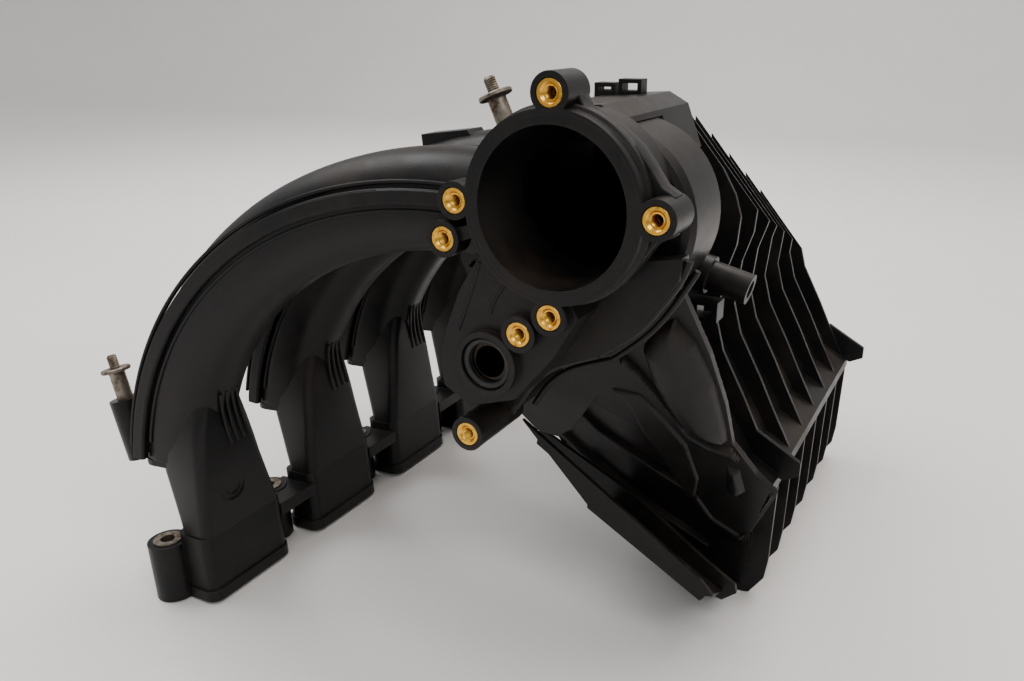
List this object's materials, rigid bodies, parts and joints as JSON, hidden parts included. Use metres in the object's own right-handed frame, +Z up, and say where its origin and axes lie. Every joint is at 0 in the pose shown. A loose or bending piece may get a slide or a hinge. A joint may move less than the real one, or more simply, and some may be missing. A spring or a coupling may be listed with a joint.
{
  "type": "intake manifold",
  "caption": "Welded black plastic intake manifold: ribbed plenum, throttle flange with brass inserts, arched runners and a bolted head flange.",
  "frame": {"origin": "centre of the throttle bore on the throttle flange's face", "axes": "+Y along the bore into the plenum and along the engine, +X from the head end across the bore, +Z up as the part rests in the picture"},
  "size_m": [0.3768, 0.3936, 0.3105],
  "materials": {
    "body": "black glass-filled nylon, satin, with a little brown dust",
    "brass": "yellow brass, turned, threaded",
    "steel": "zinc-coated steel, dulled grey-brown",
    "sleeve": "dark steel sleeve, lightly oiled",
    "seal": "black rubber"
  },
  "bodies": {
    "root": {"head_body": "body", "upper_shell": "body", "runner_cap_1": "body", "runner_cap_2": "body", "runner_cap_3": "body", "runner_cap_4": "body", "lower_shell": "body", "inlet_shell": "body", "hose_nipple": "body", "nipple_clip": "body", "stud_holder_front": "body", "stud_holder_top": "body", "cable_clip_1": "body", "cable_clip_2": "body", "tab_bracket": "body", "insert_top": "brass", "insert_right": "brass", "insert_left": "brass", "insert_left_low": "brass", "insert_bottom": "brass", "insert_bottom_left": "brass", "insert_standoff": "brass", "limiter_1": "steel", "limiter_2": "steel", "limiter_3": "steel", "limiter_4": "steel", "limiter_5": "steel", "stud_front": "steel", "stud_top": "steel", "vent_sleeve": "sleeve", "port_seal_1": "seal", "port_seal_2": "seal", "port_seal_3": "seal", "port_seal_4": "seal", "vent_o_ring": "seal"}
  },
  "joints": []
}
